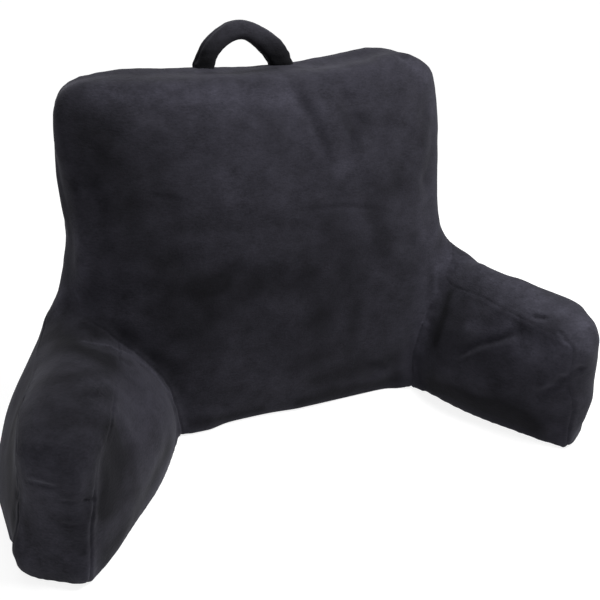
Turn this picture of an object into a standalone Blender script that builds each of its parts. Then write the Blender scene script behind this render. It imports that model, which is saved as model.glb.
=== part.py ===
"""Reading pillow with arms, in metres, +Z up.

A filled back stands on the floor, a filled arm is sewn to each of its sides, a strip of cloth (the band) runs up
the front of each arm and over its top to the back, and a padded carry handle is sewn into the back's top edge.
The sitter looks along -Y. The origin is on the floor, under the middle of the whole pillow.
"""

import math

import bmesh
import bpy
from mathutils import Vector

# Driving sizes
BACK_HEIGHT = 0.430
BACK_HALF_WIDTH = 0.244
FRONT_FOOT_Y = 0.020  # where the foot of the back's front face lies
CLOTH_THICKNESS = 0.0025
SEAM_GAP = 0.0006  # what keeps two sewn pieces from touching
SEAM_CREASE = 0.6  # how sharp the edges are that are sewn all round the base and down the arms' fronts
HANDLE_THICKNESS = 0.020
HANDLE_Y = 0.106  # behind the foot of the front face

# The back, from the floor to the top. Height and width are shares of BACK_HEIGHT and BACK_HALF_WIDTH; front and
# rear are metres behind the foot of the front face, on the pillow's middle.
BACK_ROWS = [
    {"height": 0.00, "width": 0.99, "front": 0.000, "rear": 0.158},
    {"height": 0.12, "width": 1.03, "front": -0.006, "rear": 0.174},
    {"height": 0.30, "width": 1.06, "front": -0.004, "rear": 0.180},
    {"height": 0.50, "width": 1.00, "front": 0.002, "rear": 0.177},
    {"height": 0.68, "width": 0.99, "front": 0.012, "rear": 0.168},
    {"height": 0.84, "width": 1.00, "front": 0.024, "rear": 0.154},
    {"height": 0.94, "width": 0.99, "front": 0.034, "rear": 0.142},
    {"height": 1.00, "width": 0.96, "front": 0.044, "rear": 0.130},
]

# The top edge of the back, from the pillow's left end to its right: it dips under the handle.
TOP_ROWS = [
    {"across": -1.0, "rise": -0.010},
    {"across": -0.8, "rise": 0.001},
    {"across": -0.4, "rise": -0.002},
    {"across": 0.0, "rise": -0.007},
    {"across": 0.25, "rise": -0.007},
    {"across": 0.5, "rise": 0.004},
    {"across": 0.8, "rise": 0.010},
    {"across": 1.0, "rise": -0.010},
]

# An arm, from its root inside the back to its front. Inner and outer are where the arm's sides meet the floor,
# from the pillow's middle and from the foot of the front face. Belly is how far the inner side bulges. The leans are
# how far each side has come in where it ends, at the shoulders (inner, outer), and the crown is what the middle of
# the round top rises above them.
ARM_ROWS = [
    {"along": 0.0, "inner": (0.156, 0.044), "outer": (0.226, 0.150), "belly": -0.014, "lean_in": 0.108,
     "lean_out": 0.010, "shoulders": (0.158, 0.224), "crown": 0.010},
    {"along": 0.2, "inner": (0.169, 0.000), "outer": (0.300, 0.118), "belly": -0.010, "lean_in": 0.086,
     "lean_out": 0.046, "shoulders": (0.146, 0.174), "crown": 0.014},
    {"along": 0.4, "inner": (0.186, -0.045), "outer": (0.343, 0.056), "belly": 0.018, "lean_in": 0.054,
     "lean_out": 0.062, "shoulders": (0.150, 0.150), "crown": 0.018},
    {"along": 0.6, "inner": (0.205, -0.092), "outer": (0.358, -0.016), "belly": 0.020, "lean_in": 0.038,
     "lean_out": 0.066, "shoulders": (0.152, 0.149), "crown": 0.018},
    {"along": 0.8, "inner": (0.236, -0.144), "outer": (0.360, -0.092), "belly": 0.014, "lean_in": 0.008,
     "lean_out": 0.036, "shoulders": (0.160, 0.158), "crown": 0.018},
    {"along": 1.0, "inner": (0.286, -0.206), "outer": (0.345, -0.162), "belly": 0.006, "lean_in": -0.024,
     "lean_out": 0.018, "shoulders": (0.146, 0.146), "crown": 0.016},
]
INNER_LEAN_POWER = 3.0  # the inner side comes in late, near the round top, and the outer one sooner
OUTER_LEAN_POWER = 1.7
OUTER_BELLY = 0.4  # the outer side's bulge as a share of the inner one's
FRONT_CROWN = 0.009  # how far the middle of an arm's front stands out
ARMS = {"left": {"side": -1, "root_shift": -0.035}, "right": {"side": 1, "root_shift": 0.020}}

# The handle's middle line and how wide it is, from the pillow's left to its right
HANDLE_ROWS = [
    {"along": 0.00, "middle": (-0.063, 0.402), "width": 0.026},
    {"along": 0.11, "middle": (-0.061, 0.424), "width": 0.024},
    {"along": 0.18, "middle": (-0.057, 0.437), "width": 0.020},
    {"along": 0.26, "middle": (-0.050, 0.449), "width": 0.017},
    {"along": 0.32, "middle": (-0.042, 0.457), "width": 0.018},
    {"along": 0.40, "middle": (-0.028, 0.464), "width": 0.020},
    {"along": 0.50, "middle": (-0.010, 0.468), "width": 0.020},
    {"along": 0.58, "middle": (0.003, 0.464), "width": 0.020},
    {"along": 0.65, "middle": (0.014, 0.458), "width": 0.022},
    {"along": 0.71, "middle": (0.024, 0.450), "width": 0.022},
    {"along": 0.78, "middle": (0.034, 0.441), "width": 0.023},
    {"along": 0.87, "middle": (0.042, 0.427), "width": 0.027},
    {"along": 1.00, "middle": (0.048, 0.402), "width": 0.030},
]


def row_value(rows, key, column, at):
    """A column's value at that place, along straight lines between the rows; a pair comes back as a Vector."""
    for low, high in zip(rows, rows[1:]):
        if at <= high[key] or high is rows[-1]:
            share = min(1.0, max(0.0, (at - low[key]) / (high[key] - low[key])))
            if isinstance(low[column], tuple):
                return Vector(low[column]).lerp(Vector(high[column]), share)
            return low[column] + (high[column] - low[column]) * share


def cloth(name, colour, roughness):
    material = bpy.data.materials.new(name)
    material.use_nodes = True
    shader = material.node_tree.nodes["Principled BSDF"]
    shader.inputs["Base Color"].default_value = (*colour, 1.0)
    shader.inputs["Roughness"].default_value = roughness
    shader.inputs["Metallic"].default_value = 0.0
    return material


def soft_block(name, cuts, place, sewn=None, band=None, levels=1):
    """A cube cut into a cage, each of its points (u, v, w), from -1 to 1, moved by place, then subdivided.

    Sewn says of an edge's middle whether a seam sharpens it, and band whether a face belongs to the band.
    """
    bpy.ops.mesh.primitive_cube_add(size=2)
    obj = bpy.context.object
    obj.name = name
    cage = bmesh.new()
    cage.from_mesh(obj.data)
    for axis, count in enumerate(cuts):
        along = [e for e in cage.edges if abs((e.verts[0].co - e.verts[1].co)[axis]) > 1e-6]
        bmesh.ops.subdivide_edges(cage, edges=along, cuts=count, use_grid_fill=True)
    crease = cage.edges.layers.float.new("crease_edge")
    for edge in cage.edges:
        if sewn and sewn(*((edge.verts[0].co + edge.verts[1].co) / 2)):
            edge[crease] = SEAM_CREASE
    for face in cage.faces:
        face.material_index = int(bool(band and band(*face.calc_center_median())))
    for vertex in cage.verts:
        vertex.co = place(*vertex.co)
    if cage.calc_volume(signed=True) < 0:
        bmesh.ops.reverse_faces(cage, faces=cage.faces)
    cage.to_mesh(obj.data)
    cage.free()
    smooth = obj.modifiers.new("Soft form", "SUBSURF")
    smooth.levels = smooth.render_levels = levels
    obj.data.shade_smooth()
    return obj


def on_base_rim(u, v, w):
    return w < -0.999 and max(abs(u), abs(v)) > 0.999


def on_arm_seam(u, v, w):
    """The arm's base rim, and both edges of its front face up to its round top."""
    return on_base_rim(u, v, w) or (abs(v) > 0.999 and u > 0.999 and w < 0.3)


def on_band(u, v, w):
    return u > 0.999 or w > 0.999


def place_back(u, v, w):
    """Where the back's point is: u goes across, v from front to rear and w from the floor up."""
    share = (w + 1) / 2
    half_width = BACK_HALF_WIDTH * row_value(BACK_ROWS, "height", "width", share)
    front = row_value(BACK_ROWS, "height", "front", share)
    rear = row_value(BACK_ROWS, "height", "rear", share)
    drawn_in = 0.022 * abs(u) ** 5  # the faces turn in only near the sides
    y = front + drawn_in + (rear - front - 2 * drawn_in) * (v + 1) / 2
    half_width *= 1 - 0.03 * (v + 1)
    rise = row_value(TOP_ROWS, "across", "rise", u) * max(0.0, w) ** 3
    return Vector((u * half_width, y + FRONT_FOOT_Y, BACK_HEIGHT * share + rise))


def place_arm(side, root_shift):
    """The same for an arm: u goes from its root to its front, v from its inner side to its outer one."""

    def place(u, v, w):
        along, share = (u + 1) / 2, (w + 1) / 2
        row = {column: row_value(ARM_ROWS, "along", column, along) for column in ARM_ROWS[0]}
        across = (row["outer"] - row["inner"]).normalized()
        belly = row["belly"] * math.sin(math.pi * share)
        shift = Vector((root_shift * (1 - along) ** 0.8, 0))
        inner = row["inner"] + shift + across * (row["lean_in"] * share ** INNER_LEAN_POWER - belly)
        outer = row["outer"] - across * (row["lean_out"] * share ** OUTER_LEAN_POWER - belly * OUTER_BELLY)
        at = inner.lerp(outer, (v + 1) / 2)
        at += Vector((across.y, -across.x)) * FRONT_CROWN * (1 - v * v) * (u > 0.999)
        shoulder = row["shoulders"].dot(Vector((1 - v, 1 + v))) / 2
        z = shoulder * share + row["crown"] * (1 - v * v) * (w > 0.999)
        return Vector((side * at.x, at.y + FRONT_FOOT_Y, z))

    return place


def place_handle(u, v, w):
    """The same for the handle: u goes along it, v through it and w across it."""
    along = (u + 1) / 2
    middle = row_value(HANDLE_ROWS, "along", "middle", along)
    ahead = row_value(HANDLE_ROWS, "along", "middle", min(1.0, along + 0.04))
    behind = row_value(HANDLE_ROWS, "along", "middle", max(0.0, along - 0.04))
    way = (ahead - behind).normalized()
    width = row_value(HANDLE_ROWS, "along", "width", along) * 1.12
    at = middle + Vector((-way.y, way.x)) * width * w / 2
    return Vector((at.x, HANDLE_Y + FRONT_FOOT_Y + v * HANDLE_THICKNESS * 1.12 / 2, at.y))


def settled_mesh(obj):
    """The object's mesh with its modifiers worked out."""
    graph = bpy.context.evaluated_depsgraph_get()
    return bpy.data.meshes.new_from_object(obj.evaluated_get(graph))


def cutter_of(source):
    """A helper with the source's form, larger all round by the seam gap, to cut its neighbours with."""
    cutter = bpy.data.objects.new(source.name + "_cutter", settled_mesh(source))
    cutters.objects.link(cutter)
    swell = cutter.modifiers.new("Seam gap", "DISPLACE")
    swell.strength = SEAM_GAP
    swell.mid_level = 0.0
    cutter.hide_render = True
    cutter.display_type = "WIRE"
    return cutter


def cut(obj, cutter):
    modifier = obj.modifiers.new("Cut by " + cutter.name, "BOOLEAN")
    modifier.operation = "DIFFERENCE"
    modifier.solver = "EXACT"
    modifier.object = cutter


def band_over(name, arm):
    """The strip of cloth that lies on the arm's front and top, a seam gap above the filling."""
    mesh = settled_mesh(arm)
    strip = bmesh.new()
    strip.from_mesh(mesh)
    for vertex in strip.verts:
        vertex.co += vertex.normal * SEAM_GAP
    rest = [face for face in strip.faces if face.material_index == 0]
    bmesh.ops.delete(strip, geom=rest, context="FACES")
    bmesh.ops.solidify(strip, geom=strip.faces, thickness=-CLOTH_THICKNESS)
    bmesh.ops.recalc_face_normals(strip, faces=strip.faces)
    for vertex in strip.verts:
        vertex.co.z = max(vertex.co.z, 0.001)
    for face in strip.faces:
        face.material_index = 0
    strip.to_mesh(mesh)
    strip.free()
    return bpy.data.objects.new(name, mesh)


def finish(obj, material):
    obj.data.materials.clear()
    obj.data.materials.append(material)
    for face in obj.data.polygons:
        face.material_index = 0
    for collection in obj.users_collection:
        collection.objects.unlink(obj)
    pillow.objects.link(obj)


for old in list(bpy.data.objects):
    bpy.data.objects.remove(old)
pillow = bpy.data.collections.new("reading pillow")
cutters = bpy.data.collections.new("cutters")
bpy.context.scene.collection.children.link(pillow)
bpy.context.scene.collection.children.link(cutters)

plush = cloth("plush", (0.022, 0.022, 0.026), 0.95)
band_plush = cloth("band_plush", (0.026, 0.026, 0.030), 0.95)
handle_plush = cloth("handle_plush", (0.018, 0.018, 0.021), 0.95)

back = soft_block("back_cushion", (9, 2, 8), place_back, on_base_rim)
finish(back, plush)
back_cutter = cutter_of(back)

for word, choices in ARMS.items():
    arm = soft_block("arm_" + word, (6, 3, 4), place_arm(**choices), on_arm_seam, on_band)
    band = band_over("arm_" + word + "_band", arm)
    for piece, material in ((arm, plush), (band, band_plush)):
        finish(piece, material)
        cut(piece, back_cutter)

handle = soft_block("carry_handle", (13, 1, 1), place_handle)
finish(handle, handle_plush)
cut(handle, back_cutter)
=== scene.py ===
"""Looks of the reading pillow with arms: a dark plush cover over a soft filling, with its seams, folds and pile.

The cover starts as one skin over the back and both arms. A cloth simulation stuffs it, the folds that the photo
shows are pressed into it, and it is then cut apart along its seams into the back, the arms and the bands on them.
"""

import math
from collections import namedtuple

import bmesh
import bpy
import numpy as np
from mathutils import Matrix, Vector, noise
from mathutils.bvhtree import BVHTree
from mathutils.kdtree import KDTree


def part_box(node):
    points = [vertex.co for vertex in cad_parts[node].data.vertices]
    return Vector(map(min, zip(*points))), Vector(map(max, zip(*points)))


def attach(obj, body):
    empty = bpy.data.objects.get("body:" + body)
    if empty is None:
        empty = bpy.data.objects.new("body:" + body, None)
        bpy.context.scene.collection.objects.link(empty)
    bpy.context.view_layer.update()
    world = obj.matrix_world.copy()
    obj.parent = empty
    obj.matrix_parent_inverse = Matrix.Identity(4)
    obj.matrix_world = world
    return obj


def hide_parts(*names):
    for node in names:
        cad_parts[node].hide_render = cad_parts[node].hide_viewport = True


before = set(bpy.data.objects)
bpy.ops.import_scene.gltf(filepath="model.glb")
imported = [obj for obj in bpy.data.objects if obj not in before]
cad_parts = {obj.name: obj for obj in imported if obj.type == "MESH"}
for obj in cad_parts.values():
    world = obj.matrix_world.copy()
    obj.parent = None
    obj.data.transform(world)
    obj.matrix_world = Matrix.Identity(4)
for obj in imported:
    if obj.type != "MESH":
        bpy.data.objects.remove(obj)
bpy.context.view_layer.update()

TINY = 1e-9
FAR_OFF = 1e9
SEED_STEPS = (7.3, 3.1, 5.7)  # how far apart the noise of two seeds lies
PUCKER_SEED, CRUMPLE_SEED, SHADE_SEED = 1, 4, 7

# The camera: where the photo was taken from
CAMERA_PLACE = Vector((-0.3212, -0.8052, 0.5806))
CAMERA_HEADING = math.radians(22.56)  # turned from +Y towards +X
CAMERA_DOWN = math.radians(25.33)
PHOTO_SIZE = 600
PHOTO_FOCAL = 800  # pixels
SENSOR_WIDTH = 36.0

# The skin and its filling
WELD_DISTANCE = 1e-5
SKIN_VOXEL = 0.006
OVERLAP = 0.0016  # what each solid grows by so that sewn neighbours fuse
START_IN = 0.0015  # how far inside the solids the skin starts before it is stuffed
PUFF_CAP = 0.006
SINK_CAP = 0.0008  # how far the stuffed cover may fall inwards
PRESSURE = 4.0
CLOTH_QUALITY = 4
CLOTH_MASS = 0.3
CLOTH_SHRINK = -0.004  # below zero it grows
CLOTH_BENDING = 2.0
CLOTH_FRAMES = 20
PINNED_NEAR = 0.004  # the cover is held this near to a seam
PINNED_FAR = 2.5  # and is free this many times as far away
FLOOR_HELD = (0.006, 0.014)  # it is held below the first of these heights and free above the second
HELD_LEAST = 0.01  # what is held less than this is free
FLOOR_GAP = 0.0006
SADDLE_LOW = 0.150  # above this the back flows into the arm without a crease
SADDLE_RISE = 0.03  # how far above that it does so in full
SADDLE_REACH = 0.055
SADDLE_CORE = 0.4  # the share of that reach where it does so in full
EVEN_WEIGHT = 0.5  # how far one round of smoothing draws a point towards its neighbours
START_ROUNDS = 6
SADDLE_WEIGHT = 0.9
SADDLE_ROUNDS = 90
FILLED_ROUNDS = 2

# The seams
BAND_EDGE = 0.0022  # how far outside the band's solid its seam runs
RIM_SEAM_Y = 0.124  # the seam round the back's edge, between its front and rear panels
SEAM_DEPTH = 0.0014
RIM_SHARE = 0.45  # how much of that depth the rim seam takes
SEAM_WIDTH = 0.0017
SEAM_LIP = 0.0002  # how far the cover rises on both sides of a seam
LIP_AWAY = 2.4  # how far from the seam the lip stands, in seam widths
RIDGE_WIDTH = 1.3  # the width of a lip beside a seam or a ridge beside a fold, in widths of that seam or fold
PUCKER_REACH = 0.014
PUCKER_SIZE = 0.011
PUCKER_DEPTH = 0.0005
SADDLE_QUIET = 0.85  # how much of a seam the saddle takes away
QUIET_SHARE = 0.85  # how much of a seam a quiet stretch takes away
RIM_FROM = 0.004  # the back's own seam counts as the rim this far from the arms' seams
BAND_THICKNESS = 0.0020
REFINE_REACH = 0.007  # the faces this near to a seam are made finer
ISLAND_POINTS = 400
ISLAND_VALUE = 0.003
SNAP_SHARE = 0.25  # a vertex this near to a seam, as a share of its edge, moves onto it
FIELD_ROUNDS = 3
TURN_LEAST = 0.5  # the points that close an opening have a turn shorter than this

# The cover's swelling, and the reach of what is pressed into it
BROAD_SWELL = {"size": 0.075, "seed": 2, "height": 0.0022}
SMALL_SWELL = {"size": 0.030, "seed": 3, "height": 0.0008}
SWELL_LOST = 0.6  # the share of the swelling that a seam takes away
SWELL_FROM_FLOOR = 0.015
NUDGE_FROM_FLOOR = 0.012
PIXEL_STEP = 3.0  # how far apart the points of a run are, in pixels
COVER_STEP = 0.004  # and in metres
FOLD_REACH = 5  # the fold's reach and where its ridge stands, in widths of the fold
RIDGE_AWAY = 2.0
FOLD_END = (-0.05, 0.3)  # the shares of the run between which a fold fades in
FOLD_FACING = (0.1, 0.5)  # how much a point has to face the fold's way, from nothing pressed to all
HOLLOW_FACING = (0.0, 0.5)
HOLLOW_CUT = 3.2  # how many times its reach away a hollow ends
LEAST_SHARE = 0.02  # what has less effect than this is left out

# The handle
HANDLE_VOXEL = 0.003
HANDLE_ROUNDS = 8
HANDLE_SUNK = 0.007  # how far its feet are sewn in below the cover
HANDLE_FOOT = 0.030  # how high the feet reach
HANDLE_WRINKLE = {"size": 0.014, "seed": 5, "height": 0.0016}
WRINKLE_FLAT = 2.2
WRINKLE_ABOVE = 0.35  # the share of the wrinkles that goes on above the feet
HANDLE_SWELL = {"size": 0.028, "seed": 6, "height": 0.0010}
HANDLE_SEAM = {"width": 0.0022, "depth": 0.0010}
# Painted shade on the handle's feet and painted light on its top, set by height
HANDLE_LIT = (0.012, 0.050)  # between these heights it comes out of the shade that its feet lie in
HANDLE_SHADE = -0.82

# The light: a soft box above and to the right, a soft light from behind, a weak even sky and a glowing floor
SKY_STRENGTH = 0.25
REAR_STRENGTH = 1.4
REAR_SPREAD = math.radians(60)
TO_REAR = Vector((0.10, 0.80, 0.55))
BOX_PLACE = Vector((0.60, -0.32, 1.30))
BOX_AIM = Vector((0.0, 0.0, 0.20))
BOX_SIZE = 0.6
BOX_POWER = 26.0
WHITE = (1.0, 1.0, 1.0, 1.0)
FLOOR_SIZE = 40
FLOOR_COLOUR = (0.30, 0.30, 0.30, 1.0)
FLOOR_GLOW = 0.85

# The pile: its textures from coarse to fine, how flat each is, and their shares in tone and relief
PileLayer = namedtuple("PileLayer", "name scale flat detail share relief")
PILE = [PileLayer(*row) for row in (
    ("broad", 10.0, 1.0, 2.0, 0.28, 0.0),
    ("patches", 60.0, 1.2, 3.0, 0.22, 0.0),
    ("dashes", 170.0, 3.2, 2.0, 0.16, 0.45),
    ("tufts", 360.0, 1.5, 1.0, 0.12, 0.6),
)]
ROUGH = 0.55
PILE_RAMP = (0.25, 0.55)  # between these the tone goes from the first of PILE_TONES to the second
PILE_TONES = (0.45, 1.75)
RELIEF_DEPTH = 0.0012
RELIEF_STRENGTH = 0.42
SHEEN_TINT = (0.62, 0.62, 0.74, 1.0)

# ---- places on the cover
# Each has a name and lies along a run, or round one place, given in pixels of the photo (two numbers) or in metres on
# the cover (three). Reach is how far from there it fades out. All lengths are metres.

Nudge = namedtuple("Nudge", "name run reach shift")
Fold = namedtuple("Fold", "name run depth width ridge", defaults=[0.0])
Hollow = namedtuple("Hollow", "name pixel reach depth")
PaintedShade = namedtuple("PaintedShade", "name run reach share")
Crumple = namedtuple("Crumple", "name pixel reach size height")
QuietSeam = namedtuple("QuietSeam", "name pixel reach")
SeamShift = namedtuple("SeamShift", "name pixel reach wider")

# Where the stuffing pushes the cover out or lets it in
NUDGES = [Nudge(*row) for row in (
    ("top left corner", [(63, 84), (60, 100)], 0.03, (-0.0016, 0.0012, 0.001)),
    ("left side of the back", [(68, 180), (70, 222), (69, 252)], 0.026, (0.0042, -0.0015, 0.0)),
    ("left side below the middle", [(68, 276), (66, 296)], 0.024, (-0.007, 0.003, 0.0)),
    ("top right corner", [(412, 62), (426, 72)], 0.024, (0.0037, 0.0, 0.0027)),
    ("saddle into the right arm", [(438, 244), (456, 259)], 0.027, (0.0078, 0.0018, 0.01)),
    ("top of the right arm", [(478, 272), (508, 284)], 0.024, (0.0, 0.0018, 0.0072)),
    ("right arm's front top corner", [(570, 308), (582, 325)], 0.03, (0.0068, 0.0, 0.0047)),
    ("right arm's front edge", [(588, 345), (588, 365), (582, 402)], 0.028, (0.0068, -0.0026, 0.0)),
    ("left arm's side", [(-0.306, 0.06, 0.13), (-0.33, 0.0, 0.11), (-0.345, -0.09, 0.09)],
     0.06, (0.005, 0.0, 0.0)),
    ("left arm's side at the front", [(-0.338, -0.04, 0.11), (-0.35, -0.11, 0.07)], 0.05, (0.0036, 0.0, 0.0)),
    ("left arm's side, lower", [(-0.335, 0.05, 0.09), (-0.347, -0.02, 0.08), (-0.352, -0.1, 0.06)],
     0.06, (0.003, 0.0, 0.0)),
    ("left side above the arm", [(57, 303), (52, 312)], 0.02, (-0.004, 0.002, 0.0)),
    ("top edge left of the handle", [(120, 74), (180, 73)], 0.03, (0.0, 0.0, -0.0018)),
    ("top edge right of the handle", [(320, 62), (362, 55)], 0.026, (0.0, 0.0, -0.0046)),
    ("foot of the left arm's front", [(30, 566), (60, 573), (88, 574)], 0.03, (0.0, -0.0028, 0.0)),
    ("inner corner of that foot", [(90, 570), (94, 564)], 0.018, (-0.0024, -0.006, 0.0)),
    ("outer corner of that foot", [(18, 552), (24, 562)], 0.018, (-0.003, -0.0016, 0.0)),
    ("side above that corner", [(-0.348, -0.12, 0.045), (-0.346, -0.145, 0.028)], 0.026, (-0.0032, -0.001, 0.0)),
    ("crest of the left arm's arch", [(106, 334), (126, 342), (146, 358)], 0.026, (0.0, 0.0, -0.0052)),
    ("left arm's side, higher", [(-0.279, 0.047, 0.15), (-0.293, 0.036, 0.13), (-0.307, 0.024, 0.11)],
     0.036, (-0.002, 0.0, 0.0)),
    ("left side of the back, higher", [(-0.24, 0.04, 0.37)], 0.034, (-0.002, 0.0, 0.0)),
    ("foot of the left arm's inner panel", [(148, 496), (166, 458)], 0.024, (-0.0036, 0.0, 0.0)),
    ("that foot near the front", [(106, 557), (114, 547)], 0.018, (0.003, -0.0014, 0.0)),
    ("foot of the back at the left arm", [(192, 427), (206, 425)], 0.02, (0.0, -0.008, 0.0)),
    ("foot of the back", [(300, 403), (350, 392), (396, 382)], 0.03, (0.0, -0.005, 0.0)),
    ("foot of the back at the right arm", [(402, 380), (406, 379), (410, 380)], 0.022, (-0.002, -0.015, 0.0)),
    ("right arm's front edge, lower", [(581, 404), (578, 418)], 0.019, (0.0056, -0.0012, 0.0)),
    ("right arm's foot at the front", [(540, 436), (556, 440)], 0.022, (0.001, -0.006, 0.0)),
)]

# The same for the handle
HANDLE_NUDGES = [Nudge(*row) for row in (
    ("left shoulder", [(206, 48), (214, 42)], 0.018, (0.0042, 0.0, -0.0014)),
    ("left foot", [(201, 62)], 0.014, (0.0024, 0.0, 0.0)),
    ("inner side of the right shoulder", [(254, 44)], 0.012, (-0.0024, 0.0, 0.0)),
    ("right foot", [(282, 60)], 0.014, (0.002, 0.0, 0.0)),
)]

# Folds pressed into the cover. A depth below zero raises it. A ridge may stand beside a fold: above zero on its left,
# seen along its run, below zero on its right. The last three are where the photo doesn't see.
FOLDS = [Fold(*row) for row in (
    ("crease into the left band's inner seam", [(82, 500), (90, 501), (98, 500)], 0.0024, 0.0022),
    ("crease across the left band", [(24, 481), (38, 484), (50, 487), (60, 487)], 0.0015, 0.0028, 0.001),
    ("faint crease across the left band", [(58, 501), (68, 502), (80, 503)], 0.0008, 0.0022, 0.0004),
    ("lowest crease across the left band", [(56, 524), (72, 526), (90, 525)], 0.0008, 0.0024, 0.0004),
    ("front edge of the left arm's inner panel",
     [(117, 414), (126, 431), (134, 452), (136, 472), (132, 502), (124, 532), (116, 556)], -0.0014, 0.018),
    ("rim of the left arm's arch", [(84, 341), (108, 346), (134, 357), (156, 375), (172, 397)], -0.0008, 0.0026),
    ("fold beside the left band's top", [(88, 398), (97, 396), (106, 392)], 0.0016, 0.004, 0.0008),
    ("fold across the right arm", [(448, 362), (460, 354), (470, 349), (480, 344), (497, 339), (513, 334), (526, 327)],
     0.0036, 0.005, -0.0026),
    ("fold low on the right arm's front", [(534, 395), (545, 392), (555, 386), (562, 378), (573, 374)],
     0.0034, 0.0044, 0.002),
    ("pucker at the right band", [(530, 316), (538, 318), (549, 319)], 0.0019, 0.0032, 0.001),
    ("edge of the right arm's inner panel", [(521, 318), (520, 332), (519, 350)], 0.0012, 0.005),
    ("small wrinkle at the right arm's corner", [(556, 330), (563, 336), (567, 343)], 0.001, 0.0024, 0.0008),
    ("first streak on the back", [(284, 82), (298, 98), (311, 120), (320, 142), (330, 166)], 0.0032, 0.0085, 0.0012),
    ("second streak on the back", [(336, 82), (345, 98), (355, 118), (352, 140), (338, 158)], 0.0024, 0.0085),
    ("soft fold across the back", [(150, 262), (196, 266), (228, 272), (262, 277), (304, 274)], 0.003, 0.015, 0.0016),
    ("fine fold across the back", [(292, 213), (316, 209), (345, 207), (372, 209), (392, 214)], 0.0014, 0.003, 0.0005),
    ("fine fold on the back's left", [(144, 196), (166, 198), (192, 203)], 0.0014, 0.003, 0.0005),
    ("fold low on the back", [(352, 364), (364, 363), (376, 366), (383, 369), (372, 377), (358, 383)],
     0.0018, 0.0045, 0.001),
    ("rear fold at the left arm", [(-0.226, 0.188, 0.2), (-0.18, 0.2, 0.168)], 0.003, 0.007, 0.0015),
    ("rear fold at the right arm", [(0.224, 0.188, 0.206), (0.172, 0.2, 0.18)], 0.003, 0.007, -0.0015),
    ("long soft fold on the rear", [(-0.12, 0.2, 0.12), (0.0, 0.2, 0.098), (0.11, 0.2, 0.112)], 0.002, 0.01, 0.001),
)]

# Round hollows (depth above zero) and swellings (below zero)
HOLLOWS = [Hollow(*row) for row in (
    ("blotch on the left band's outer seam", (17, 497), 0.005, 0.002),
    ("dimple in the back's top", (175, 95), 0.009, 0.0024),
    ("notch beside the top right corner", (404, 57), 0.007, 0.003),
    ("swelling below the fold on the right arm", (528, 356), 0.022, -0.0045),
    ("swelling above the fold on the right arm", (492, 318), 0.016, -0.0028),
    ("swelling at the right arm's corner", (560, 345), 0.018, -0.002),
    ("hollow on top of the left band", (66, 420), 0.03, 0.004),
    ("spot at the right band's inner seam", (581, 368), 0.005, 0.0026),
    ("spot on the back's right", (398, 190), 0.008, 0.0014),
    ("swelling on the back's low right", (300, 330), 0.06, -0.004),
)]
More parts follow.
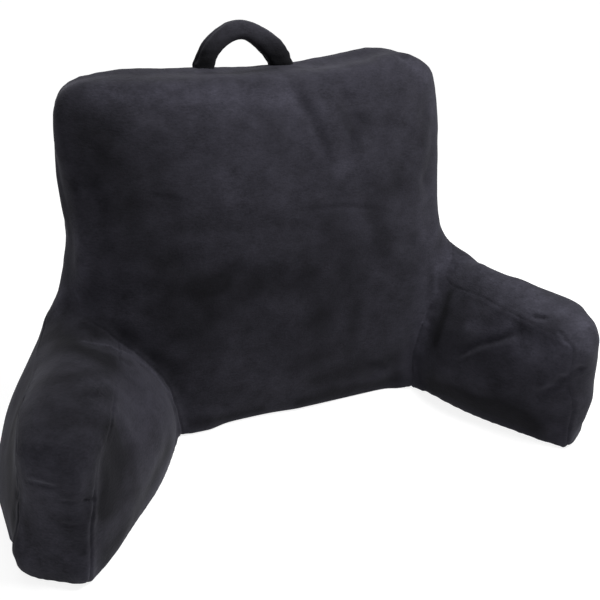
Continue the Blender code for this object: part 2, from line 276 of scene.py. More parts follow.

# Painted shade (share below zero) and painted light (above zero) in the cover's colour, in places also where the pile
# lies over
PAINTED_SHADES = [PaintedShade(*row) for row in (
    ("inside the dimple in the back's top", [(172, 94), (178, 95)], 0.008, -0.45),
    ("below the handle", [(205, 80), (235, 82), (262, 85)], 0.01, -0.3),
    ("left of the first streak on the back", [(258, 106), (284, 145)], 0.012, -0.35),
    ("across the left of the middle", [(118, 247), (160, 262), (215, 280)], 0.012, -0.24),
    ("lit edge above the left arm", [(62, 290), (58, 300), (56, 312)], 0.011, 0.9),
    ("top edge of the back behind the handle", [(206, 72), (240, 72), (274, 68)], 0.007, -0.5),
    ("upper left of the back", [(114, 146), (132, 158), (160, 146)], 0.02, -0.26),
    ("upper left of the middle", [(200, 175), (214, 215), (250, 238)], 0.026, -0.15),
    ("middle of the back, lower", [(284, 256), (320, 254)], 0.014, -0.25),
    ("left of the middle, lower", [(232, 272), (212, 292), (211, 324)], 0.014, -0.32),
    ("low by the left arm", [(164, 346), (178, 334)], 0.012, -0.25),
    ("low right of the middle, wider", [(300, 366), (332, 348)], 0.018, -0.28),
    ("left of the back", [(84, 122), (104, 162), (126, 184)], 0.025, -0.45),
    ("left of the middle", [(130, 215), (160, 255)], 0.022, -0.45),
    ("low across the back", [(175, 284), (235, 286), (300, 284)], 0.022, -0.5),
    ("low left of the back", [(165, 305), (190, 320), (204, 345)], 0.026, -0.5),
    ("left of the middle, higher", [(168, 190), (178, 220)], 0.018, -0.35),
    ("low right of the middle", [(358, 305), (350, 350)], 0.014, -0.4),
    ("above the left arm's arch", [(84, 325), (100, 333), (113, 341)], 0.007, -0.28),
    ("behind the left arm's arch", [(95, 322), (125, 334), (154, 358), (174, 386)], 0.01, -0.35),
    ("right of the middle", [(330, 225), (350, 255), (325, 320)], 0.03, -0.45),
    ("upper right of the back", [(392, 188), (376, 200), (384, 250)], 0.02, -0.4),
    ("low right of the back", [(320, 378), (360, 370), (395, 360)], 0.018, -0.6),
    ("foot of the back's front", [(300, 402), (350, 390), (396, 380)], 0.01, -0.6),
    ("low on the back", [(240, 310), (260, 350), (310, 335)], 0.03, -0.3),
    ("beside the foot of the left arm", [(195, 424), (225, 418), (260, 409)], 0.009, -0.6),
    ("strip on the back's left", [(76, 230), (84, 265), (76, 296)], 0.012, 0.7),
    ("top of the back", [(110, 84), (190, 84), (300, 78), (400, 66)], 0.016, 0.15),
    ("below the top of the back", [(100, 95), (190, 96), (290, 97)], 0.014, 0.65),
    ("upper middle of the back", [(200, 120), (330, 110)], 0.03, 0.2),
    ("middle of the back", [(225, 182), (240, 200)], 0.016, 0.35),
    ("light patch at the upper right", [(343, 168), (352, 166)], 0.013, 0.7),
    ("second light patch there", [(350, 82), (358, 92)], 0.01, 0.3),
    ("dark patch there", [(342, 108), (352, 130)], 0.011, -0.5),
    ("top right corner of the back", [(410, 64), (424, 76)], 0.01, 0.5),
    ("right edge of the back", [(422, 98), (428, 150), (424, 180)], 0.012, -0.35),
    ("right end of the back by the arm", [(430, 245), (424, 285), (420, 345)], 0.01, 0.5),
    ("lit edge of the back by the arm", [(436, 270), (436, 290)], 0.006, 0.6),
    ("back's end beside that corner", [(427, 325), (423, 350)], 0.008, 0.4),
    ("saddle into the right arm", [(424, 240), (436, 235)], 0.014, 0.45),
    ("top edge of the right arm", [(488, 277), (518, 285)], 0.008, 0.6),
    ("right arm's inner panel at the back", [(450, 312), (466, 330)], 0.013, -0.28),
    ("corner between the back and the right arm", [(450, 294), (443, 318), (435, 342)], 0.009, -0.85),
    ("below the right arm's fold", [(462, 348), (500, 352)], 0.016, -0.3),
    ("top of the right arm", [(445, 262), (490, 288), (535, 302)], 0.021, 0.95),
    ("front end of the right arm's top", [(568, 312), (584, 322)], 0.014, 0.8),
    ("above the right arm's fold", [(470, 325), (492, 332), (508, 326)], 0.009, 1.0),
    ("front corner of the right arm", [(515, 350), (548, 352), (586, 345)], 0.02, 0.95),
    ("foot of the right arm", [(434, 386), (480, 403), (532, 425)], 0.02, -0.95),
    ("low on the right arm", [(500, 400), (520, 404)], 0.018, -0.4),
    ("top of the left arm", [(50, 335), (88, 352), (110, 362)], 0.02, -0.8),
    ("band below the left arm's top", [(42, 380), (85, 374)], 0.014, -0.5),
    ("lit rim of the left arm's arch", [(84, 341), (108, 346), (134, 357), (156, 375), (172, 397)], 0.003, 0.6),
    ("lower on the left arm's top", [(65, 391), (112, 396)], 0.012, -0.35),
    ("left arm's side", [(-0.338, -0.06, 0.11), (-0.346, -0.1, 0.08), (-0.35, -0.13, 0.05)], 0.034, -0.78),
    ("inside the left arm's edge", [(130, 462), (136, 492)], 0.012, -0.45),
    ("below that rim", [(95, 350), (130, 362)], 0.007, -0.3),
    ("left band's upper part", [(60, 418), (80, 412), (98, 425)], 0.02, -0.45),
    ("left band low", [(40, 470), (40, 520), (45, 560)], 0.02, 0.7),
    ("left band's foot", [(70, 545), (80, 570)], 0.018, 0.45),
    ("strip beside the left band's outer seam", [(23, 485), (21, 520), (22, 548)], 0.004, 0.6),
    ("leaf beside the left band", [(112, 441), (113, 460), (112, 485), (106, 508)], 0.016, -1.2),
    ("middle of that leaf", [(121, 468), (121, 494)], 0.011, -0.5),
    ("left band beside that leaf", [(98, 452), (96, 480)], 0.009, -0.3),
    ("outer corner of the left band's foot", [(22, 538), (28, 560)], 0.014, 0.6),
    ("edge of the left arm's inner panel", [(168, 450), (150, 485), (128, 525), (108, 556)], 0.016, -0.85),
)]
SHADE_WOBBLE = 0.45  # how unevenly those places end
SHADE_GRAIN = 0.030
SHADE_LEAST = -0.78  # how dark they get where several meet

# Where the cover is crumpled
CRUMPLES = [Crumple(*row) for row in (
    ("top right of the back", (372, 105), 0.08, 0.024, 0.0024),
    ("top left of the back", (160, 100), 0.07, 0.028, 0.0014),
    ("corner of the right arm", (555, 345), 0.04, 0.014, 0.001),
)]

# Stretches of the bands' seams that the stuffing nearly smooths out
QUIET_SEAMS = [QuietSeam(*row) for row in (
    ("right inner seam", (478, 290), 0.042),
    ("right inner seam at the back", (455, 283), 0.022),
    ("right inner seam at the pucker", (530, 322), 0.024),
    ("right inner seam, middle", (505, 307), 0.026),
    ("left inner seam at the leaf", (98, 475), 0.02),
    ("left inner seam above the leaf", (104, 445), 0.03),
    ("left inner seam near the arch", (112, 375), 0.055),
    ("right inner seam at the corner", (553, 330), 0.035),
    ("left outer seam near the top", (37, 362), 0.05),
    ("left outer seam at the corner", (16, 430), 0.03),
    ("left outer seam at the foot", (18, 545), 0.022),
)]

# Where a band's seam runs beside the CAD band's edge, and how much wider that makes the band
SEAM_SHIFTS = [SeamShift(*row) for row in (
    ("left inner seam above the leaf", (104, 438), 0.032, 0.0085),
    ("right inner seam near the back", (456, 280), 0.03, 0.006),
)]


# ---- meshes as arrays


def shape_of(mesh):
    shape = bmesh.new()
    shape.from_mesh(mesh)
    return shape


def mesh_of(shape, name):
    mesh = bpy.data.meshes.new(name)
    shape.to_mesh(mesh)
    return mesh


def welded(node, push=0.0):
    """A closed copy of a CAD node's mesh, with its faces moved out by push."""
    shape = shape_of(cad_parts[node].data)
    bmesh.ops.remove_doubles(shape, verts=shape.verts, dist=WELD_DISTANCE)
    shape.normal_update()
    for vertex in shape.verts:
        vertex.co += vertex.normal * push
    return shape


def new_object(name, data):
    obj = bpy.data.objects.new(name, data)
    bpy.context.scene.collection.objects.link(obj)
    return obj


def settled(obj):
    """The object's mesh with its modifiers worked out; the object itself is removed."""
    graph = bpy.context.evaluated_depsgraph_get()
    mesh = bpy.data.meshes.new_from_object(obj.evaluated_get(graph))
    bpy.data.objects.remove(obj)
    return mesh


def remeshed(shape, name, voxel):
    """The shape's outside as one mesh of even squares."""
    obj = new_object(name, mesh_of(shape, name))
    remesh = obj.modifiers.new("Skin", "REMESH")
    remesh.mode = "VOXEL"
    remesh.voxel_size = voxel
    return settled(obj)


def array_of(items, field, width, kind=np.float64):
    values = np.empty(len(items) * width, dtype=kind)
    items.foreach_get(field, values)
    return values.reshape(-1, width)


def points_of(mesh):
    return array_of(mesh.vertices, "co", 3)


def normals_of(mesh):
    return array_of(mesh.vertex_normals, "vector", 3)


def edges_of(mesh):
    return array_of(mesh.edges, "vertices", 2, np.int64)


def set_points(mesh, points):
    mesh.vertices.foreach_set("co", points.ravel())
    mesh.update()


def keep(mesh, name, values):
    """Stores a number or a vector at each vertex, which later subdivisions and cuts carry along."""
    values = np.asarray(values, dtype=np.float32)
    kind, field = ("FLOAT", "value") if values.ndim == 1 else ("FLOAT_VECTOR", "vector")
    mesh.attributes.new(name, kind, "POINT").data.foreach_set(field, values.ravel())


def kept(mesh, name):
    layer = mesh.attributes[name]
    if layer.data_type == "FLOAT":
        return array_of(layer.data, "value", 1, np.float32)[:, 0].astype(float)
    return array_of(layer.data, "vector", 3, np.float32).astype(float)


def smoothed(points, edges, weight, rounds):
    """The points drawn towards the middle of their neighbours, each by its weight, that many times."""
    count = np.maximum(np.bincount(edges.ravel(), minlength=len(points)), 1)[:, None]
    for _ in range(rounds):
        total = np.empty_like(points)
        for axis in range(points.shape[1]):
            total[:, axis] = np.bincount(edges[:, 0], points[edges[:, 1], axis], len(points))
            total[:, axis] += np.bincount(edges[:, 1], points[edges[:, 0], axis], len(points))
        points = points + weight[:, None] * (total / count - points)
    return points


def soft_step(low, high, value):
    share = np.clip((value - low) / (high - low), 0.0, 1.0)
    return share * share * (3 - 2 * share)


def falloff(away, reach):
    """1 where away is zero, about a third at the reach and nearly nothing at twice the reach."""
    return np.exp(-((away / reach) ** 2))


def around(points, place, reach):
    """The same for each point's distance from the place."""
    return np.exp(-(((points - np.array(place)) ** 2).sum(axis=1) / reach**2))


def bumps(points, size, seed, height=1.0):
    """Smooth noise at each point, up to that height."""
    shift = Vector([seed * step for step in SEED_STEPS])
    return np.array([noise.noise(Vector(point) / size + shift) for point in points]) * height


# ---- where the seams run

ARM_WORDS = ("left", "right")
SEAMS = ("back", "band", "rim")
trees = {name: BVHTree.FromBMesh(welded(name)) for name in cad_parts}


def distance(node, points):
    """How far each point lies from that CAD solid's surface."""
    return np.array([trees[node].find_nearest(Vector(point))[3] for point in points])


def seam_fields(rest):
    """For each point of the skin, how far it lies to one side of each seam.

    back is below zero on the back, band below zero on a band, and rim below zero on the back's front panel.
    """
    back = distance("back_cushion", rest)
    arm, band = np.empty(len(rest)), np.empty(len(rest))
    for word, chosen in zip(ARM_WORDS, (rest[:, 0] < 0, rest[:, 0] >= 0)):
        arm[chosen] = distance("arm_" + word, rest[chosen])
        band[chosen] = distance(f"arm_{word}_band", rest[chosen])
    return {"back": back - arm, "band": band - BAND_EDGE, "rim": rest[:, 1] - RIM_SEAM_Y}


def seam_distance(fields):
    """How far the nearest seam is."""
    on_arm = fields["back"] > 0
    beside = np.where(on_arm, np.abs(fields["band"]), np.abs(fields["rim"]))
    return np.minimum(np.abs(fields["back"]), beside)


def saddle_weight(rest, back):
    """1 where the back flows into the top of an arm, and 0 away from there."""
    near = 1 - soft_step(SADDLE_REACH * SADDLE_CORE, SADDLE_REACH, np.abs(back))
    return near * soft_step(SADDLE_LOW, SADDLE_LOW + SADDLE_RISE, rest[:, 2])


# ---- the skin


def largest_part(mesh):
    """Only the mesh's largest connected part is kept."""
    found, sizes = {}, []
    for start in mesh.verts:
        if start in found:
            continue
        reached, waiting = 0, [start]
        found[start] = len(sizes)
        while waiting:
            vertex = waiting.pop()
            reached += 1
            for edge in vertex.link_edges:
                other = edge.other_vert(vertex)
                if other not in found:
                    found[other] = len(sizes)
                    waiting.append(other)
        sizes.append(reached)
    kept = sizes.index(max(sizes))
    rest = [vertex for vertex, part in found.items() if part != kept]
    bmesh.ops.delete(mesh, geom=rest, context="VERTS")


def make_skin():
    """One closed skin over the back and both arms."""
    fused = bmesh.new()
    for name in ("back_cushion", "arm_left", "arm_right"):
        part = mesh_of(welded(name, OVERLAP), name + "_copy")
        fused.from_mesh(part)
        bpy.data.meshes.remove(part)
    mesh = remeshed(fused, "skin_start", SKIN_VOXEL)
    skin = shape_of(mesh)
    largest_part(skin)
    skin.to_mesh(mesh)
    return mesh


def stuffed(mesh, held):
    """Where the skin's points go when it is filled, up to the caps. Held is how firmly each stays."""
    start = points_of(mesh)
    obj = new_object("skin_cloth", mesh.copy())
    group = obj.vertex_groups.new(name="held")
    for index in np.nonzero(held > HELD_LEAST)[0]:
        group.add([int(index)], float(held[index]), "REPLACE")
    settings = obj.modifiers.new("Stuffing", "CLOTH").settings
    settings.quality = CLOTH_QUALITY
    settings.mass = CLOTH_MASS
    settings.use_pressure = True
    settings.uniform_pressure_force = PRESSURE
    settings.vertex_group_mass = "held"
    settings.shrink_min = settings.shrink_max = CLOTH_SHRINK
    settings.bending_stiffness = CLOTH_BENDING
    settings.effector_weights.gravity = 0.0
    for step in range(1, CLOTH_FRAMES + 1):
        bpy.context.scene.frame_set(step)
    moved = points_of(settled(obj)) - start
    bpy.context.scene.frame_set(1)
    length = np.linalg.norm(moved, axis=1)
    moved *= np.minimum(1.0, PUFF_CAP / np.maximum(length, TINY))[:, None]
    normals = normals_of(mesh)
    sunk = np.maximum(0.0, -SINK_CAP - (moved * normals).sum(axis=1))
    return start + moved + normals * sunk[:, None]


def subdivided(mesh):
    obj = new_object("skin_fine", mesh)
    smooth = obj.modifiers.new("Smooth", "SUBSURF")
    smooth.levels = smooth.render_levels = 1
    return settled(obj)


def filled_skin():
    """The skin, stuffed and made fine. Its attribute rest says where each point was on the CAD solids."""
    mesh = make_skin()
    rest = points_of(mesh)
    edges = edges_of(mesh)
    fields = seam_fields(rest)
    saddle = saddle_weight(rest, fields["back"])
    near_seam = 1 - soft_step(PINNED_NEAR, PINNED_NEAR * PINNED_FAR, seam_distance(fields))
    near_seam *= 1 - saddle
    on_floor = 1 - soft_step(*FLOOR_HELD, rest[:, 2])
    held = np.maximum(near_seam, on_floor)
    points = smoothed(rest, edges, EVEN_WEIGHT * (1 - held), START_ROUNDS)
    points = smoothed(points, edges, SADDLE_WEIGHT * saddle, SADDLE_ROUNDS)
    set_points(mesh, points)
    set_points(mesh, points - normals_of(mesh) * (START_IN * (1 - held))[:, None])
    points = stuffed(mesh, held)
    points = smoothed(points, edges, EVEN_WEIGHT * (1 - held), FILLED_ROUNDS)
    points[:, 2] = np.maximum(points[:, 2], FLOOR_GAP)
    set_points(mesh, points)
    keep(mesh, "rest", rest)
    return subdivided(mesh)


# ---- the photo's folds


class View:
    """The photo's camera, to find what lies behind one of its pixels."""

    ahead = Vector((math.sin(CAMERA_HEADING) * math.cos(CAMERA_DOWN),
                    math.cos(CAMERA_HEADING) * math.cos(CAMERA_DOWN), -math.sin(CAMERA_DOWN)))
    right = Vector((math.cos(CAMERA_HEADING), -math.sin(CAMERA_HEADING), 0.0))
    up = right.cross(ahead)

    @classmethod
    def hit(cls, tree, pixel):
        """(place, normal) where the ray through that pixel meets the surface."""
        across = (pixel[0] - PHOTO_SIZE / 2) / PHOTO_FOCAL
        over = (PHOTO_SIZE / 2 - pixel[1]) / PHOTO_FOCAL
        ray = (cls.ahead + cls.right * across + cls.up * over).normalized()
        place, normal, _, _ = tree.ray_cast(CAMERA_PLACE, ray)
        return place, normal


def between(stops, step):
    """Points along the straight lines between the stops, no further apart than step."""
    run = [stops[0]]
    for low, high in zip(stops, stops[1:]):
        parts = max(1, math.ceil((high - low).length / step))
        run += [low.lerp(high, part / parts) for part in range(1, parts + 1)]
    return run


def run_of(tree, place):
    """The run of a named place as (place, normal) each: what lies behind its pixels, or nearest to its points."""
    stops = [Vector(stop) for stop in place.run]
    if len(stops[0]) == 3:
        return [tree.find_nearest(stop)[:2] for stop in between(stops, COVER_STEP)]
    hits = [View.hit(tree, pixel) for pixel in between(stops, PIXEL_STEP)]
    return [hit for hit in hits if hit[0] is not None]


def away_from(points, run):
    """How far each point lies from the run."""
    away2 = np.full(len(points), FAR_OFF)
    for place, _ in run:
        away2 = np.minimum(away2, ((points - np.array(place)) ** 2).sum(axis=1))
    return np.sqrt(away2)


def tree_of(mesh):
    return BVHTree.FromBMesh(shape_of(mesh))


def nudged(mesh, nudges):
    """The mesh's points with each nudge's shift, which fades out around its run. What lies on the floor stays."""
    tree, points = tree_of(mesh), points_of(mesh)
    for nudge in nudges:
        share = falloff(away_from(points, run_of(tree, nudge)), nudge.reach)
        shift = share[:, None] * np.array(nudge.shift)
        shift[:, 2] *= soft_step(0.0, NUDGE_FROM_FLOOR, points[:, 2])
        points += shift
    return points


def press_fold(points, normals, run, depth, width, ridge):
    """Presses a groove of that run into the points, with a ridge beside it, fading out at both ends."""
    places = np.array([place for place, _ in run])
    outward = np.array([normal for _, normal in run])
    tangents = np.gradient(places, axis=0)
    tangents /= np.maximum(np.linalg.norm(tangents, axis=1), TINY)[:, None]
    reach = width * FOLD_REACH
    low, high = places.min(axis=0) - reach, places.max(axis=0) + reach
    near = np.nonzero(np.all((points > low) & (points < high), axis=1))[0]
    offsets = points[near][:, None, :] - places[None, :, :]
    closest = np.argmin((offsets**2).sum(axis=2), axis=1)
    offset = offsets[np.arange(len(near)), closest]
    left = np.cross(outward[closest], tangents[closest])
    across = (offset * left).sum(axis=1)
    beyond = (offset * tangents[closest]).sum(axis=1)
    share = closest / max(1, len(places) - 1)
    fade = soft_step(*FOLD_END, share) * soft_step(*FOLD_END, 1 - share) * falloff(beyond, width)
    fade *= soft_step(*FOLD_FACING, (normals[near] * outward[closest]).sum(axis=1))
    side = 1.0 if ridge >= 0 else -1.0
    shape = abs(ridge) * falloff(across - side * width * RIDGE_AWAY, width * RIDGE_WIDTH)
    shape -= depth * falloff(across, width)
    points[near] += normals[near] * (fade * shape)[:, None]


def press_hollow(points, normals, place, normal, reach, depth):
    """Presses a round hollow into the points that face the same way as its middle."""
    away2 = ((points - np.array(place)) ** 2).sum(axis=1)
    near = np.nonzero(away2 < (reach * HOLLOW_CUT) ** 2)[0]
    facing = soft_step(*HOLLOW_FACING, normals[near] @ np.array(normal))
    points[near] -= normals[near] * (depth * facing * np.exp(-away2[near] / reach**2))[:, None]


def press_seams(points, normals, away, shown):
    """Draws the seams in, with small puckers beside them, and lets the cover swell a little unevenly between."""
    groove = falloff(away, SEAM_WIDTH) * shown * SEAM_DEPTH
    lip = falloff(away - SEAM_WIDTH * LIP_AWAY, SEAM_WIDTH * RIDGE_WIDTH) * shown * SEAM_LIP
    beside = falloff(away, PUCKER_REACH) * shown
    near = beside > LEAST_SHARE
    uneven = np.zeros(len(points))
    uneven[near] = bumps(points[near], PUCKER_SIZE, PUCKER_SEED) * beside[near] * PUCKER_DEPTH * 2
    swell = bumps(points, **BROAD_SWELL) + bumps(points, **SMALL_SWELL)
    lifted = soft_step(0.0, SWELL_FROM_FLOOR, points[:, 2])
    points += normals * ((uneven + swell * (1 - SWELL_LOST * beside)) * lifted + lip - groove)[:, None]


def fold_cover(mesh):
    """Nudges the fine cover, presses everything into it, and notes its painted light and shade, in places also the
    pile's nap.
    """
    saddle = saddle_weight(kept(mesh, "rest"), kept(mesh, "back"))
    set_points(mesh, nudged(mesh, NUDGES))
    points, normals, tree = points_of(mesh), normals_of(mesh), tree_of(mesh)
    shown = (1 - saddle * SADDLE_QUIET) * np.where(kept(mesh, "back") < -RIM_FROM, RIM_SHARE, 1.0)
    for quiet in QUIET_SEAMS:
        place, _ = View.hit(tree, quiet.pixel)
        shown *= 1 - QUIET_SHARE * around(points, place, quiet.reach)
    press_seams(points, normals, kept(mesh, "away"), shown)
    for fold in FOLDS:
        press_fold(points, normals, run_of(tree, fold), fold.depth, fold.width, fold.ridge)
    for crumple in CRUMPLES:
        place, _ = View.hit(tree, crumple.pixel)
        share = around(points, place, crumple.reach)
        near = share > LEAST_SHARE
        heights = bumps(points[near], crumple.size, CRUMPLE_SEED) * share[near] * crumple.height
        points[near] += normals[near] * heights[:, None]
    for hollow in HOLLOWS:
        place, normal = View.hit(tree, hollow.pixel)
        press_hollow(points, normals, place, normal, hollow.reach, hollow.depth)
    points[:, 2] = np.maximum(points[:, 2], FLOOR_GAP)
    set_points(mesh, points)
    # Painted light and shade for the cover's colour, in places also the pile's nap, summed over the listed places
    wobble = 1 + SHADE_WOBBLE * bumps(points, SHADE_GRAIN, SHADE_SEED)
    painted_shade_and_nap = np.zeros(len(points))
    for shade in PAINTED_SHADES:
        painted_shade_and_nap += shade.share * falloff(away_from(points, run_of(tree, shade)) * wobble, shade.reach)
    keep(mesh, "painted_shade_and_nap", np.maximum(painted_shade_and_nap, SHADE_LEAST))


# ---- cutting the cover apart

BACK, ARM, BAND = 0, 1, 2  # the regions that a face of the cover can belong to


def above_zero(ring, side):
    """The two vertices on the line between which the ring of a face rises above zero."""
    count = len(ring)
    low = next(i for i in range(count) if ring[i][side] == 0.0 and ring[(i + 1) % count][side] > 0)
    high = low + 1
    while ring[high % count][side] > 0:
        high += 1
    return ring[low], ring[high % count]


def cut_along(mesh, name, part=0):
    """Splits the faces where that value at the vertices passes through zero, so that edges run along there.

    Part keeps to the faces where the value back has its sign, or goes over all of them.
    """
    side, back = mesh.verts.layers.float[name], mesh.verts.layers.float["back"]
    rest = mesh.verts.layers.float_vector["rest"]

    def crossed(vertices):
        values = [vertex[side] for vertex in vertices]
        return min(values) < 0 < max(values) and all(vertex[back] * part >= 0 for vertex in vertices)

    for edge in mesh.edges:
        if crossed(edge.verts):
            first, second = sorted(edge.verts, key=lambda vertex: abs(vertex[side]))
            share = first[side] / (first[side] - second[side])
            if share < SNAP_SHARE:
                first.co = first.co.lerp(second.co, share)
                first[rest] = first[rest].lerp(second[rest], share)
                first[side] = 0.0
    for edge in [edge for edge in mesh.edges if crossed(edge.verts)]:
        first, second = edge.verts
        _, middle = bmesh.utils.edge_split(edge, first, first[side] / (first[side] - second[side]))
        middle[side] = 0.0
    waiting = list(mesh.faces)
    while waiting:
        face = waiting.pop()
        if crossed(face.verts):
            other, _ = bmesh.utils.face_split(face, *above_zero(list(face.verts), side))
            waiting += [face, other]


def mark_regions(mesh):
    """Marks each face as the back's, an arm's or a band's."""
    region = mesh.faces.layers.int.new("region")
    back, band = (mesh.verts.layers.float[name] for name in ("back", "band"))
    for face in mesh.faces:
        if sum(vertex[back] for vertex in face.verts) < 0:
            face[region] = BACK
        else:
            face[region] = BAND if sum(vertex[band] for vertex in face.verts) < 0 else ARM


def without_islands(values, edges):
    """The values, with each small patch whose sign differs from what lies around it turned over."""
    same = edges[(values[edges[:, 0]] < 0) == (values[edges[:, 1]] < 0)]
    patch = np.arange(len(values))
    while True:
        lower = patch.copy()
        np.minimum.at(lower, same[:, 0], patch[same[:, 1]])
        np.minimum.at(lower, same[:, 1], patch[same[:, 0]])
        lower = lower[lower]
        if np.array_equal(lower, patch):
            break
        patch = lower
    small = np.bincount(patch, minlength=len(values))[patch] < ISLAND_POINTS
    return np.where(small, -np.sign(values) * ISLAND_VALUE, values)


def seam_tree(mesh):
    """The points along all seams, to measure from."""
    region = mesh.faces.layers.int["region"]
    rim = mesh.verts.layers.float["rim"]
    found = {}
    for edge in mesh.edges:
        regions = {face[region] for face in edge.link_faces}
        on_rim = regions == {BACK} and all(vertex[rim] == 0.0 for vertex in edge.verts)
        if len(regions) > 1 or on_rim:
            for vertex in edge.verts:
                found[vertex.index] = vertex.co.copy()
    tree = KDTree(len(found))
    for index, place in found.items():
        tree.insert(place, index)
    tree.balance()
    return tree


def seamed(mesh):
    """A new mesh of the skin with finer faces beside the seams and edges along them."""
    edges, tree, points = edges_of(mesh), tree_of(mesh), points_of(mesh)
    fields = seam_fields(kept(mesh, "rest"))
    for shift in SEAM_SHIFTS:
        place, _ = View.hit(tree, shift.pixel)
        fields["band"] -= shift.wider * falloff(away_from(points, [(place, None)]), shift.reach)
    for name, values in fields.items():
        weight = np.full(len(values), EVEN_WEIGHT)
        values = smoothed(without_islands(values, edges)[:, None], edges, weight, FIELD_ROUNDS)[:, 0]
        keep(mesh, name, without_islands(values, edges))
    cover = shape_of(mesh)
    back, band, rim = (cover.verts.layers.float[name] for name in SEAMS)

    def beside_seam(vertex):
        other = band if vertex[back] > 0 else rim
        return min(abs(vertex[back]), abs(vertex[other])) < REFINE_REACH

    near = [edge for edge in cover.edges if all(beside_seam(vertex) for vertex in edge.verts)]
    bmesh.ops.subdivide_edges(cover, edges=near, cuts=1, use_grid_fill=True)
    cut_along(cover, "back")
    cut_along(cover, "band", 1)
    cut_along(cover, "rim", -1)
    mark_regions(cover)
    cover.verts.index_update()
    lines = seam_tree(cover)
    fine = mesh_of(cover, "cover")
    keep(fine, "away", [lines.find(vertex.co)[2] for vertex in cover.verts])
    return fine


def part_of(mesh, keep, sign=0):
    """A copy with only the faces of the regions in keep, on that side of the middle."""
    part = mesh.copy()
    region = part.faces.layers.int["region"]
    gone = [face for face in part.faces
            if face[region] not in keep or face.calc_center_median().x * sign < 0]
    bmesh.ops.delete(part, geom=gone, context="FACES")
    return part


def close_up(part):
    """Closes each opening with faces to a point inside, which don't shade into the cover."""
    edges = [edge for edge in part.edges if edge.is_boundary]
    for edge in edges:
        edge.smooth = False
    filled = bmesh.ops.holes_fill(part, edges=edges, sides=0)["faces"]
    bmesh.ops.poke(part, faces=filled)


def lowered_under_band(arm):
    """Makes room for the band's cloth on the arm's own face."""
    side = arm.verts.layers.float["band"]
    under = [vertex for vertex in arm.verts if vertex[side] < 0]
    for vertex, normal in [(vertex, vertex.normal.copy()) for vertex in under]:
        vertex.co -= normal * min(BAND_THICKNESS, -vertex[side])


def add_piece(name, shape, slot, nodes):
    """The finished shape as a piece of the scene that replaces those CAD nodes."""
    mesh = mesh_of(shape, name)
    mesh.polygons.foreach_set("use_smooth", [True] * len(mesh.polygons))
    if "turn" in mesh.attributes:
        turn = kept(mesh, "turn")
        closing = np.linalg.norm(turn, axis=1) < TURN_LEAST
        turn[closing] = normals_of(mesh)[closing]
        mesh.normals_split_custom_set_from_vertices(turn)
    for spare in [item.name for item in mesh.attributes if item.name in (*SEAMS, "rest", "region", "away", "turn")]:
        mesh.attributes.remove(mesh.attributes[spare])
    obj = new_object(name, mesh)
    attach(obj, "root")
    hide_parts(*nodes)
    mesh.materials.append(PLUSHES[slot])
    return obj


def make_cover():
    """The cover's pieces: the back, both arms, and the cloth bands that lie on them."""
    mesh = seamed(filled_skin())
    fold_cover(mesh)
    keep(mesh, "turn", normals_of(mesh))
    whole = shape_of(mesh)
    whole.normal_update()
    back = part_of(whole, {BACK})
    close_up(back)
    add_piece("back_cover", back, "plush", ["back_cushion"])
    for word, sign in zip(ARM_WORDS, (-1, 1)):
        arm = part_of(whole, {ARM, BAND}, sign)
        lowered_under_band(arm)
        close_up(arm)
        cushion = add_piece(f"arm_{word}_cover", arm, "plush", [f"arm_{word}"])
        strip = add_piece(f"arm_{word}_band_cover", part_of(whole, {BAND}, sign), "band_plush", [f"arm_{word}_band"])


# ---- the handle


def make_handle():
    """The handle's cover: its form made fine, with a seam along it and wrinkles at its feet."""
    mesh = subdivided(remeshed(welded("carry_handle"), "handle_start", HANDLE_VOXEL))
    weight = np.full(len(mesh.vertices), EVEN_WEIGHT)
    set_points(mesh, smoothed(points_of(mesh), edges_of(mesh), weight, HANDLE_ROUNDS))
    points = nudged(mesh, HANDLE_NUDGES)
    set_points(mesh, points)
    normals = normals_of(mesh)
    low, high = (np.array(corner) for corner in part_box("carry_handle"))
    foot = 1 - soft_step(0.0, HANDLE_FOOT, points[:, 2] - low[2])
    points[:, 2] -= foot * HANDLE_SUNK
    wrinkles = bumps(points * np.array([1.0, 1.0, WRINKLE_FLAT]), **HANDLE_WRINKLE)
    wrinkles *= WRINKLE_ABOVE + foot
    swell = bumps(points, **HANDLE_SWELL)
    beside_seam = points[:, 1] - (low[1] + high[1]) / 2
    seam = falloff(beside_seam, HANDLE_SEAM["width"]) * HANDLE_SEAM["depth"]
    set_points(mesh, points + normals * (wrinkles + swell - seam)[:, None])
    # painted shade at the handle's feet, painted light higher up, stored for the colour
    keep(mesh, "painted_shade_and_nap", soft_step(*HANDLE_LIT, points[:, 2] - low[2]) + HANDLE_SHADE)
    add_piece("handle_cover", shape_of(mesh), "handle_plush", ["carry_handle"])


# ---- materials


def set_sockets(node, values):
    for name, value in values.items():
        node.inputs[name].default_value = value


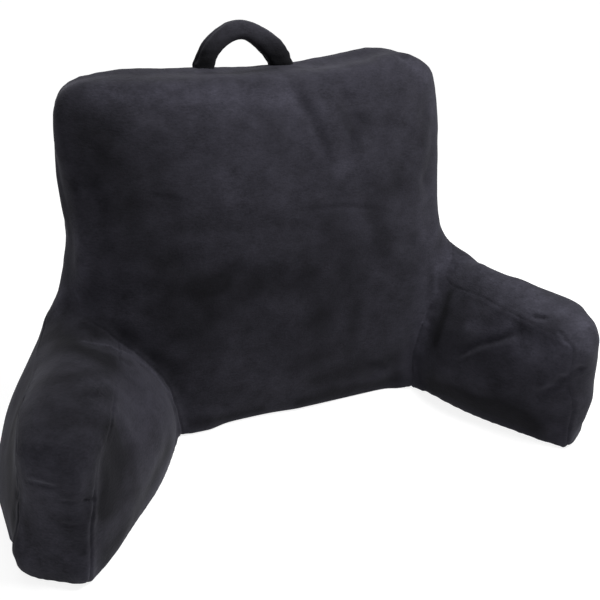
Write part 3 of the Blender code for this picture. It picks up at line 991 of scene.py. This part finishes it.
class Graph:
    """A material's nodes, with short calls for the kinds that the plush uses."""

    def __init__(self, material):
        material.use_nodes = True
        self.nodes, self.links = material.node_tree.nodes, material.node_tree.links
        self.shader = self.nodes["Principled BSDF"]
        self.place = self.nodes.new("ShaderNodeTexCoord").outputs["Object"]

    def flattened(self, flat):
        mapping = self.nodes.new("ShaderNodeMapping")
        set_sockets(mapping, {"Scale": (1.0, 1.0, flat)})
        self.links.new(self.place, mapping.inputs["Vector"])
        return mapping.outputs["Vector"]

    def noise(self, vector, scale, detail):
        texture = self.nodes.new("ShaderNodeTexNoise")
        set_sockets(texture, {"Scale": scale, "Detail": detail, "Roughness": ROUGH})
        self.links.new(vector, texture.inputs["Vector"])
        return texture.outputs["Fac"]

    def math(self, kind, *values):
        node = self.nodes.new("ShaderNodeMath")
        node.operation = kind
        for socket, value in zip(node.inputs, values):
            if isinstance(value, float):
                socket.default_value = value
            else:
                self.links.new(value, socket)
        return node.outputs[0]

    def blend(self, *shares):
        """The sum of textures, each times its share."""
        total = None
        for texture, share in shares:
            part = self.math("MULTIPLY", texture, share)
            total = part if total is None else self.math("ADD", total, part)
        return total

    def ramp(self, value, *stops):
        node = self.nodes.new("ShaderNodeValToRGB")
        for element, (position, colour) in zip(node.color_ramp.elements, stops):
            element.position = position
            element.color = (*colour, 1.0)
        self.links.new(value, node.inputs["Fac"])
        return node.outputs["Color"]


def plush(name, colour, sheen, rows=1.0):
    """Short pile with patches, tufts and a soft sheen. Rows is how strongly its dashes show."""
    material = bpy.data.materials.new(name)
    graph = Graph(material)
    set_sockets(graph.shader, {"Roughness": 1.0, "Specular IOR Level": 0.12, "Sheen Weight": sheen,
                               "Sheen Roughness": 0.5, "Sheen Tint": SHEEN_TINT})
    made = [graph.noise(graph.flattened(layer.flat), layer.scale, layer.detail) for layer in PILE]
    tone = graph.blend(*((texture, layer.share * (rows if layer.name == "dashes" else 1.0))
                         for texture, layer in zip(made, PILE)))
    dark, light = ([part * share for part in colour] for share in PILE_TONES)
    # Base colour scaled by the painted light and shade stored on the mesh (in places the pile's nap)
    painted_shade_and_nap = graph.nodes.new("ShaderNodeAttribute")
    painted_shade_and_nap.attribute_name = "painted_shade_and_nap"
    shaded = graph.nodes.new("ShaderNodeVectorMath")
    shaded.operation = "SCALE"
    graph.links.new(graph.ramp(tone, *zip(PILE_RAMP, (dark, light))), shaded.inputs[0])
    graph.links.new(graph.math("ADD", painted_shade_and_nap.outputs["Fac"], 1.0), shaded.inputs["Scale"])
    graph.links.new(shaded.outputs["Vector"], graph.shader.inputs["Base Color"])

    bump = graph.nodes.new("ShaderNodeBump")
    set_sockets(bump, {"Strength": RELIEF_STRENGTH, "Distance": RELIEF_DEPTH})
    relief = [(texture, layer.relief) for texture, layer in zip(made, PILE) if layer.relief]
    graph.links.new(graph.blend(*reversed(relief)), bump.inputs["Height"])
    graph.links.new(bump.outputs["Normal"], graph.shader.inputs["Normal"])
    return material


PLUSHES = {row[0]: plush(*row) for row in (
    ("plush", (0.0172, 0.0166, 0.0223), 0.06),
    ("band_plush", (0.0175, 0.0170, 0.0225), 0.06, 0.8),
    ("handle_plush", (0.0164, 0.0160, 0.0204), 0.07),
)}


# ---- stage


def floor():
    bpy.ops.mesh.primitive_plane_add(size=FLOOR_SIZE)
    plane = bpy.context.object
    plane.name = "studio_floor"
    material = bpy.data.materials.new("studio_floor")
    material.use_nodes = True
    set_sockets(material.node_tree.nodes["Principled BSDF"],
                {"Base Color": FLOOR_COLOUR, "Roughness": 0.9, "Specular IOR Level": 0.1, "Emission Color": WHITE,
                 "Emission Strength": FLOOR_GLOW})
    plane.data.materials.append(material)


def light():
    world = bpy.data.worlds.new("studio")
    world.use_nodes = True
    set_sockets(world.node_tree.nodes["Background"], {"Color": WHITE, "Strength": SKY_STRENGTH})
    bpy.context.scene.world = world
    rear = bpy.data.lights.new("rear_light", "SUN")
    rear.energy = REAR_STRENGTH
    rear.angle = REAR_SPREAD
    new_object("rear_light", rear).rotation_euler = (-TO_REAR).to_track_quat("-Z", "Y").to_euler()
    box = bpy.data.lights.new("soft_box", "AREA")
    box.size = BOX_SIZE
    box.energy = BOX_POWER
    lamp = new_object("soft_box", box)
    lamp.location = BOX_PLACE
    lamp.rotation_euler = (BOX_AIM - BOX_PLACE).to_track_quat("-Z", "Y").to_euler()


def camera():
    lens = bpy.data.cameras.new("camera")
    lens.sensor_width = SENSOR_WIDTH
    lens.lens = SENSOR_WIDTH * PHOTO_FOCAL / PHOTO_SIZE
    eye = new_object("camera", lens)
    eye.location = CAMERA_PLACE
    eye.rotation_euler = View.ahead.to_track_quat("-Z", "Y").to_euler()
    bpy.context.scene.camera = eye


floor()
light()
camera()
bpy.context.scene.view_settings.view_transform = "Standard"
make_cover()
make_handle()
